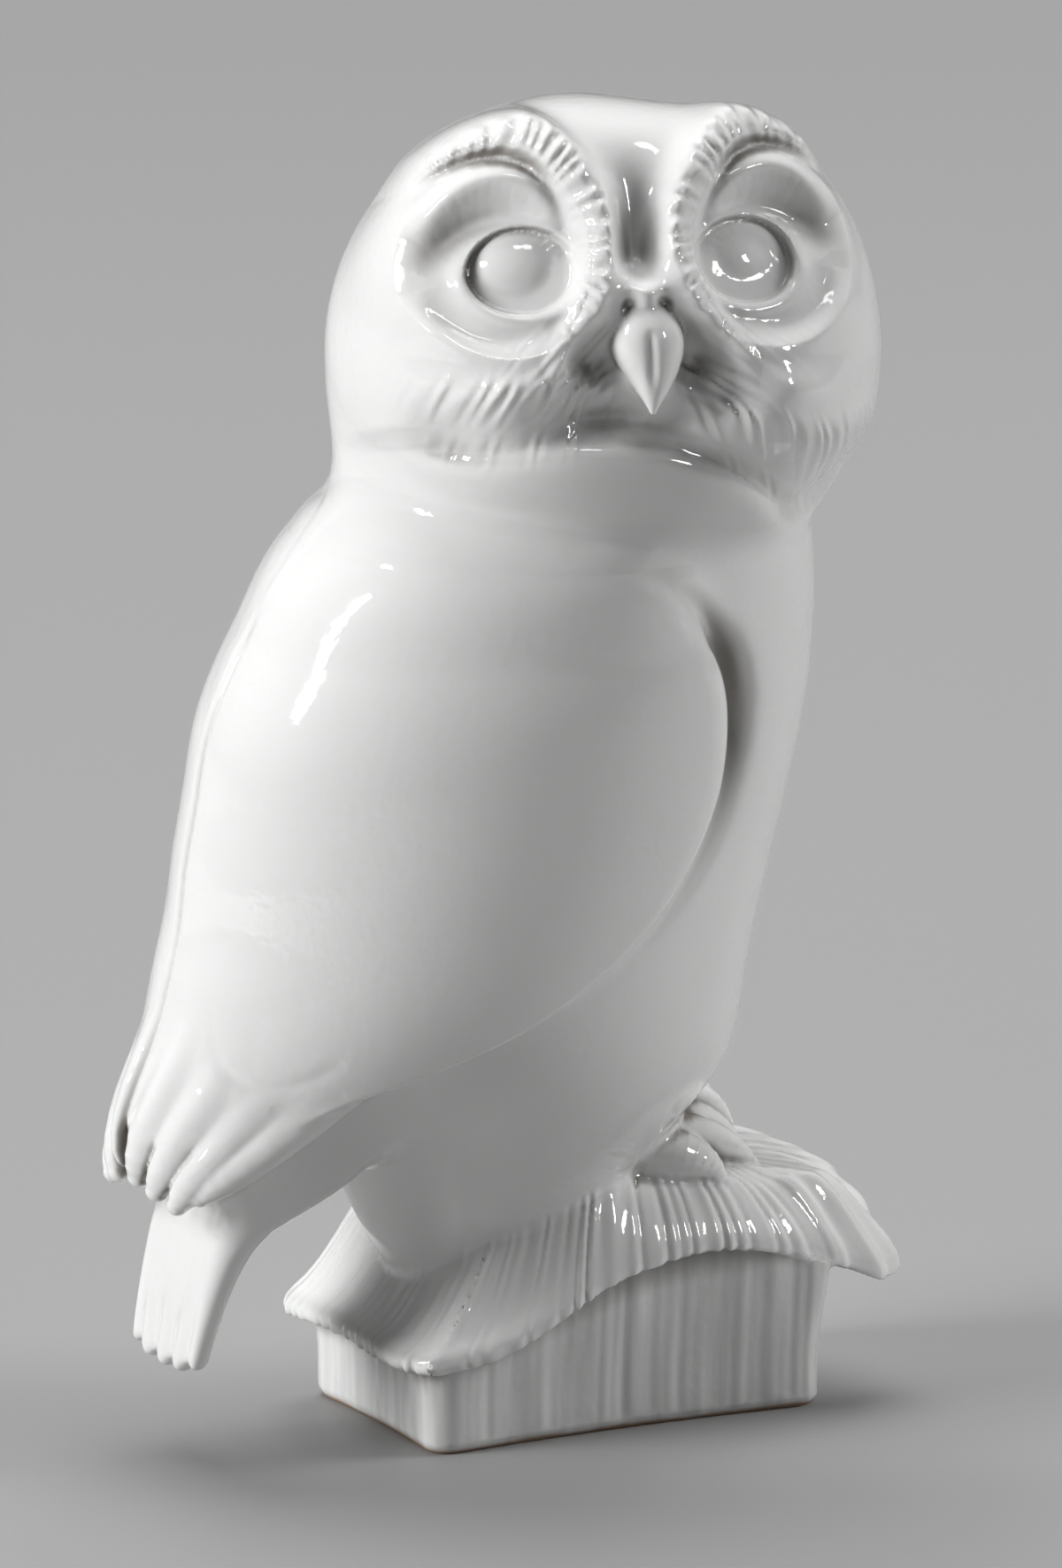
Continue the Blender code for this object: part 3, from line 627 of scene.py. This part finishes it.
# centre and half sizes of the ankle, then x, y, z, radius along each toe
FOOT_RIGHT = (
    ((-12.0, -9.0, 58.0), (9.0, 8.5, 9.0)),
    (
        ((-16.0, -10.0, 53.5, 6.0), (-18.8, -15.6, 52.2, 5.4), (-20.6, -20.2, 50.2, 3.6), (-21.4, -23.4, 47.0, 1.4)),
        ((-11.5, -14.0, 55.5, 5.8), (-12.8, -22.0, 53.8, 4.8), (-13.8, -29.0, 51.0, 3.4), (-14.2, -33.6, 48.0, 1.3)),
        ((-7.0, -16.0, 56.5, 5.2), (-6.2, -24.0, 55.6, 4.5), (-5.8, -30.6, 52.8, 3.0), (-5.8, -34.6, 49.8, 1.2)),
    ),
)
FOOT_LEFT = (
    ((12.5, -18.0, 59.5), (9.5, 9.0, 8.5)),
    (
        ((7.5, -20.0, 57.0, 4.8), (6.0, -27.5, 57.6, 4.2), (5.4, -34.4, 55.0, 2.9), (5.2, -38.4, 51.0, 1.2)),
        ((13.0, -20.0, 57.0, 4.8), (13.2, -28.6, 58.4, 4.3), (13.6, -35.8, 55.6, 3.0), (13.8, -40.0, 51.2, 1.2)),
        ((18.0, -18.0, 56.0, 4.6), (20.0, -25.6, 56.6, 3.9), (21.8, -31.6, 53.6, 2.7), (22.8, -35.2, 50.0, 1.1)),
    ),
)


# ---------------------------------------------------------------- the whole skin
def piece_fields(p):
    """Each piece's own field, in the order of NODES."""
    return [
        trunk(p), right_wing(p), left_wing(p), tail(p), head(p), beak(p), eye(p, -1), eye(p, 1),
        foot(p, *FOOT_RIGHT), foot(p, *FOOT_LEFT), cover(p), plinth(p),
    ]


def melted(p, fields=None):
    """The fused skin's field."""
    body, wing_r, wing_l, tail_, head_, beak_, eye_r, eye_l, foot_r, foot_l, cover_, plinth_ = fields or piece_fields(p)
    z = p[:, 2]
    height = ease(150.0, 182.0, z)
    wing_reach = 1.0 + 14.0 * height
    field = melt(body, tail_, 7.0)
    field = melt(field, melt(wing_r, wing_l, 1.4), wing_reach)
    q = (p - HEAD_CENTRE) @ HEAD_AXES
    nape = 2.5 + 9.0 * (1 - ease(-12.0, 22.0, q[:, 1])) * (1 - ease(-10.0, 30.0, q[:, 0]))
    field = melt(field, head_, nape)
    for eye_ in (eye_r, eye_l):
        field = melt(field, eye_, 0.5)
    field = melt(field, beak_, 0.9)
    for foot_ in (foot_r, foot_l):
        field = melt(field, foot_, 1.6)
    base = melt(cover_, plinth_, 1.2)
    return melt(field, base, 1.3 + 2.2 * ease(-16.0, 2.0, p[:, 1]))


WORKERS, BATCH = 4, 30000


def measure(points):
    """The melted field at any number of points, a batch at a time."""
    batches = [points[i : i + BATCH] for i in range(0, len(points), BATCH)]
    with ThreadPoolExecutor(WORKERS) as pool:
        return np.concatenate(list(pool.map(melted, batches)))


def sample_near_skin(low, high):
    """The melted field on a grid, measured only in the blocks that the skin may cross."""
    blocks = np.ceil((high - low) / (VOXEL * BLOCK)).astype(int)
    corners = np.stack(np.meshgrid(*(np.arange(n) for n in blocks), indexing="ij"), axis=-1).reshape(-1, 3)
    side = VOXEL * BLOCK
    rough = measure(low + (corners + 0.5) * side)
    crossed = np.abs(rough) < side * 1.5
    grid = (np.sign(rough) * side).reshape(blocks).astype(np.float32)
    for axis in range(3):
        grid = np.repeat(grid, BLOCK, axis)
    inner = np.stack(np.meshgrid(*(np.arange(BLOCK),) * 3, indexing="ij"), axis=-1).reshape(-1, 3)
    cells = (corners[crossed][:, None, :] * BLOCK + inner[None]).reshape(-1, 3)
    grid[tuple(cells.T)] = measure(low + cells * VOXEL)
    return grid


def slope(points):
    """The direction in which the melted field grows fastest, by central differences."""
    return np.stack(
        [(measure(points + step) - measure(points - step)) / (2 * SLOPE_STEP) for step in np.eye(3) * SLOPE_STEP],
        axis=1,
    )


def mesh_skin():
    """Points, faces and normals of the fused skin."""
    low = np.min([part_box(node)[0] for node in NODES], axis=0) / MM - MARGIN
    high = np.max([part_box(node)[1] for node in NODES], axis=0) / MM + MARGIN
    grid = openvdb.FloatGrid(VOXEL * BLOCK)
    grid.copyFromArray(sample_near_skin(low, high))
    points, quads = grid.convertToQuads(isovalue=0.0)
    points = low + points.astype(float) * VOXEL
    for _ in range(2):
        grown = slope(points)
        length = np.linalg.norm(grown, axis=1) + 1e-9
        step = np.clip(measure(points) / length, -0.6 * VOXEL, 0.6 * VOXEL)
        points = points - grown / length[:, None] * step[:, None]
    points[:, 2] = np.maximum(points[:, 2], 0.0)
    grown = slope(points)
    normals = grown / (np.linalg.norm(grown, axis=1)[:, None] + 1e-9)
    return points, quads.astype(int), normals


MARGIN = 9.0
NODES = ("trunk", "wing_right", "wing_left", "tail", "head", "beak", "eye_right", "eye_left",
         "foot_right", "foot_left", "plinth_cover", "plinth")


def face_pieces(points, quads):
    """The number of the piece that each face belongs to, with the seams smoothed by their neighbours."""
    middles = points[quads].mean(axis=1)
    batches = [middles[i : i + BATCH] for i in range(0, len(middles), BATCH)]
    with ThreadPoolExecutor(WORKERS) as pool:
        labels = np.concatenate(list(pool.map(lambda p: np.argmin(piece_fields(p), axis=0), batches)))
    for _ in range(6):
        votes = np.zeros((len(points), len(NODES)), np.float32)
        for corner in range(4):
            np.add.at(votes, (quads[:, corner], labels), 1.0)
        labels = votes[quads].sum(axis=1).argmax(axis=1)
    return labels


def crease_depth(points, normals):
    """0 on open skin and up to 1 in deep hollows: how much nearer the skin is than open air would have it. It sets how
    much painted shade, with some pooled glaze, the white glaze takes.
    """
    depth = np.zeros(len(points))
    for reach, share in CREASE_PROBES:
        depth += share * np.clip(1 - measure(points + normals * reach) / reach, 0, 1)
    return np.clip(depth, 0, 1)


CREASE_PROBES = ((1.2, 0.2), (4.0, 0.5), (10.0, 0.5))     # how far out to look, and how much it counts


def build_piece(name, node, points, quads, normals, creases, material):
    used, local = np.unique(quads, return_inverse=True)
    local = local.reshape(quads.shape)
    mesh = bpy.data.meshes.new(name)
    mesh.from_pydata((points[used] * MM).tolist(), [], local.tolist())
    mesh.polygons.foreach_set("use_smooth", np.ones(len(local), bool))
    attribute = mesh.attributes.new("crease", "FLOAT", "POINT")
    attribute.data.foreach_set("value", creases[used].astype(np.float32))
    mesh.normals_split_custom_set_from_vertices(normals[used].tolist())
    mesh.materials.append(material)
    piece = bpy.data.objects.new(name, mesh)
    bpy.context.scene.collection.objects.link(piece)
    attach(piece, "root")
    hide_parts(node)
    return piece


# ---------------------------------------------------------------- materials
class Nodes:
    """A short way to write a node tree: add a node, set its settings, give its inputs and hand back the node."""

    def __init__(self, tree):
        self.tree = tree
        tree.nodes.clear()

    def add(self, kind, inputs=(), **settings):
        node = self.tree.nodes.new(kind)
        for key, value in settings.items():
            setattr(node, key, value)
        for key, value in dict(inputs).items():
            socket = node.inputs[key]
            if isinstance(value, bpy.types.NodeSocket):
                self.tree.links.new(value, socket)
            else:
                socket.default_value = value
        return node


def new_material(name):
    material = bpy.data.materials.new(name)
    material.use_nodes = True
    return material, Nodes(material.node_tree)


GLAZE_WHITE = (0.83, 0.835, 0.825, 1.0)
# the grey of the hollows: partly the glaze's own pooling, partly painted shade
POOLED_GLAZE_AND_PAINTED_SHADE = (0.285, 0.265, 0.245, 1.0)
SPECK_BROWN = (0.10, 0.075, 0.055, 1.0)
BISCUIT = (0.36, 0.24, 0.16, 1.0)


def glaze(name, bare_foot):
    """White high gloss glaze, greyer and warmer in the hollows, partly where the glaze pools and partly as painted
    shade, over a bare biscuit foot on the plinth.
    """
    material, n = new_material(name)
    place = n.add("ShaderNodeNewGeometry").outputs["Position"]
    crease = n.add("ShaderNodeAttribute", attribute_name="crease").outputs["Fac"]
    # painted shade: the white turns grey in hollows by how closely the skin crowds them, partly also the glaze pooling
    # there
    pooled_and_shaded = n.add("ShaderNodeMapRange", {"Value": crease, "From Min": 0.24, "From Max": 0.90}, interpolation_type="SMOOTHSTEP")
    body = n.add("ShaderNodeMix", {"Factor": pooled_and_shaded.outputs[0], 6: GLAZE_WHITE, 7: POOLED_GLAZE_AND_PAINTED_SHADE}, data_type="RGBA")
    cloud = n.add("ShaderNodeTexNoise", {"Vector": place, "Scale": 38.0, "Detail": 3.0})
    tone = n.add("ShaderNodeMapRange", {"Value": cloud.outputs["Fac"], "To Min": 0.965, "To Max": 1.02})
    clouded = n.add("ShaderNodeVectorMath", {0: body.outputs[2], "Scale": tone.outputs[0]}, operation="SCALE")

    if bare_foot:
        upright = n.add("ShaderNodeVectorMath", {0: place, 1: (1.0, 1.0, 0.05)}, operation="MULTIPLY")
        runs = n.add("ShaderNodeTexNoise", {"Vector": upright.outputs[0], "Scale": 240.0, "Detail": 2.5})
        pale = n.add("ShaderNodeMapRange", {"Value": runs.outputs["Fac"], "From Min": 0.35, "From Max": 0.65, "To Min": 0.82, "To Max": 1.03})
        clouded = n.add("ShaderNodeVectorMath", {0: clouded.outputs[0], "Scale": pale.outputs[0]}, operation="SCALE")

    cells = n.add("ShaderNodeTexVoronoi", {"Vector": place, "Scale": 62.0})
    rare = n.add("ShaderNodeSeparateColor", {0: cells.outputs["Color"]})
    chosen = n.add("ShaderNodeMath", {0: rare.outputs[0], 1: 0.93}, operation="GREATER_THAN")
    size = n.add("ShaderNodeMath", {0: rare.outputs[1], 1: 0.022}, operation="MULTIPLY")
    dot = n.add("ShaderNodeMath", {0: cells.outputs["Distance"], 1: size.outputs[0]}, operation="LESS_THAN")
    speck = n.add("ShaderNodeMath", {0: chosen.outputs[0], 1: dot.outputs[0]}, operation="MULTIPLY")
    speckled = n.add("ShaderNodeMix", {"Factor": speck.outputs[0], 6: clouded.outputs[0], 7: SPECK_BROWN}, data_type="RGBA")

    ripple = n.add("ShaderNodeTexNoise", {"Vector": place, "Scale": 75.0, "Detail": 2.0})
    pits = n.add("ShaderNodeTexNoise", {"Vector": place, "Scale": 420.0, "Detail": 1.0})
    waves = n.add("ShaderNodeMath", {0: ripple.outputs["Fac"], 1: pits.outputs["Fac"], 2: 0.0}, operation="ADD")
    relief = n.add("ShaderNodeBump", {"Height": waves.outputs[0], "Strength": 0.10, "Distance": 0.0006})

    skin = n.add("ShaderNodeBsdfPrincipled", {
        "Base Color": speckled.outputs[2],
        "Roughness": 0.07,
        "IOR": 1.52,
        "Coat Weight": 0.5,
        "Coat Roughness": 0.03,
        "Subsurface Weight": 0.12,
        "Subsurface Radius": (1.0, 0.85, 0.75),
        "Subsurface Scale": 0.0022,
        "Normal": relief.outputs[0],
        "Coat Normal": relief.outputs[0],
    })
    shown = skin.outputs[0]
    if bare_foot:
        height = n.add("ShaderNodeSeparateXYZ", {0: place}).outputs["Z"]
        drip = n.add("ShaderNodeTexNoise", {"Vector": place, "Scale": 90.0, "Detail": 4.0})
        line = n.add("ShaderNodeMapRange", {"Value": drip.outputs["Fac"], "To Min": -0.0002, "To Max": 0.0012})
        above = n.add("ShaderNodeMath", {0: height, 1: line.outputs[0]}, operation="SUBTRACT")
        bare = n.add("ShaderNodeMapRange", {"Value": above.outputs[0], "From Min": 0.0, "From Max": 0.0007, "To Min": 1.0, "To Max": 0.0})
        grain = n.add("ShaderNodeBump", {"Height": drip.outputs["Fac"], "Strength": 0.4, "Distance": 0.0004})
        clay = n.add("ShaderNodeBsdfPrincipled", {"Base Color": BISCUIT, "Roughness": 0.8, "Normal": grain.outputs[0]})
        shown = n.add("ShaderNodeMixShader", {0: bare.outputs[0], 1: shown, 2: clay.outputs[0]}).outputs[0]
    n.add("ShaderNodeOutputMaterial", {"Surface": shown})
    return material


def floor_material():
    material, n = new_material("studio_paper")
    place = n.add("ShaderNodeNewGeometry").outputs["Position"]
    grain = n.add("ShaderNodeTexNoise", {"Vector": place, "Scale": 900.0, "Detail": 2.0})
    relief = n.add("ShaderNodeBump", {"Height": grain.outputs["Fac"], "Strength": 0.05, "Distance": 0.0002})
    paper = n.add("ShaderNodeBsdfPrincipled", {
        "Base Color": FLOOR_TONE, "Roughness": 0.55, "Normal": relief.outputs[0]})
    n.add("ShaderNodeOutputMaterial", {"Surface": paper.outputs[0]})
    return material


# ---------------------------------------------------------------- stage, lights and camera
FLOOR_TONE = (0.34, 0.34, 0.34, 1.0)
FLOOR_SIZE = 30.0
SIGHT = np.array((3.3, 6.5, 126.0)) * MM
CAMERA_AZIMUTH, CAMERA_ELEVATION = math.radians(-117.0), math.radians(14.0)
CAMERA_DISTANCE, FRAME_HEIGHT, SENSOR = 4.5, 0.310, 36.0


def from_view(right, up, towards):
    """A direction given as seen by the camera, in the level frame under it."""
    a = CAMERA_AZIMUTH
    across = Vector((math.cos(a), math.sin(a), 0.0))
    nearer = Vector((math.sin(a), -math.cos(a), 0.0))
    return across * right + nearer * towards + Vector((0.0, 0.0, up))


def area_light(name, at, size, power, glossy=True, diffuse=True):
    """A lamp aimed at the owl: a broad softbox kept out of the reflections, or a window that only they show."""
    data = bpy.data.lights.new(name, "AREA")
    data.shape, data.size, data.size_y = "RECTANGLE", size[0], size[1]
    data.energy = power
    lamp = bpy.data.objects.new(name, data)
    lamp.visible_glossy = glossy
    lamp.visible_diffuse = diffuse
    place = Vector(SIGHT) + from_view(*at)
    lamp.matrix_world = Matrix.Translation(place) @ (place - Vector(SIGHT)).to_track_quat("Z", "Y").to_matrix().to_4x4()
    bpy.context.scene.collection.objects.link(lamp)


def add_lights():
    area_light("key_left", (-2.7, 1.1, 0.95), (1.1, 1.8), 97.0, glossy=False)
    area_light("fill_right", (2.9, 1.5, -0.4), (1.2, 1.8), 62.0, glossy=False)
    area_light("top_behind", (-0.2, 3.0, -1.2), (2.4, 1.8), 94.0, glossy=False)
    area_light("window_left", (-2.6, 1.5, 0.7), (0.30, 0.75), 26.0, diffuse=False)
    area_light("window_right", (2.5, 1.6, 1.3), (0.45, 0.70), 24.0, diffuse=False)
    area_light("window_top", (0.0, 3.2, 0.4), (1.2, 0.5), 14.0, diffuse=False)
    world = bpy.data.worlds.new("studio")
    bpy.context.scene.world = world
    world.use_nodes = True
    n = Nodes(world.node_tree)
    sky = n.add("ShaderNodeBackground", {"Color": (0.55, 0.55, 0.56, 1.0), "Strength": 0.06})
    n.add("ShaderNodeOutputWorld", {"Surface": sky.outputs[0]})


def add_floor():
    mesh = bpy.data.meshes.new("floor")
    h = FLOOR_SIZE / 2
    mesh.from_pydata([(-h, -h, 0), (h, -h, 0), (h, h, 0), (-h, h, 0)], [], [(0, 1, 2, 3)])
    mesh.materials.append(floor_material())
    floor = bpy.data.objects.new("floor", mesh)
    bpy.context.scene.collection.objects.link(floor)


def add_camera():
    data = bpy.data.cameras.new("camera")
    data.sensor_width, data.lens = SENSOR, SENSOR * CAMERA_DISTANCE / FRAME_HEIGHT
    data.clip_start, data.clip_end = 0.05, 60.0
    camera = bpy.data.objects.new("camera", data)
    e = CAMERA_ELEVATION
    back = from_view(0.0, math.tan(e), 1.0).normalized()
    place = Vector(SIGHT) + back * CAMERA_DISTANCE
    camera.matrix_world = Matrix.Translation(place) @ back.to_track_quat("Z", "Y").to_matrix().to_4x4()
    bpy.context.scene.collection.objects.link(camera)
    bpy.context.scene.camera = camera


# ---------------------------------------------------------------- build
def build():
    points, quads, normals = mesh_skin()
    labels = face_pieces(points, quads)
    creases = crease_depth(points, normals)
    body_glaze = glaze("white_glaze", bare_foot=False)
    foot_glaze = glaze("white_glaze_over_bare_foot", bare_foot=True)
    for number, node in enumerate(NODES):
        mine = quads[labels == number]
        build_piece(node + "_skin", node, points, mine, normals, creases, foot_glaze if node == "plinth" else body_glaze)
        print(node, len(mine), "faces")


build()
add_floor()
add_lights()
add_camera()
bpy.context.scene.view_settings.view_transform = "Standard"
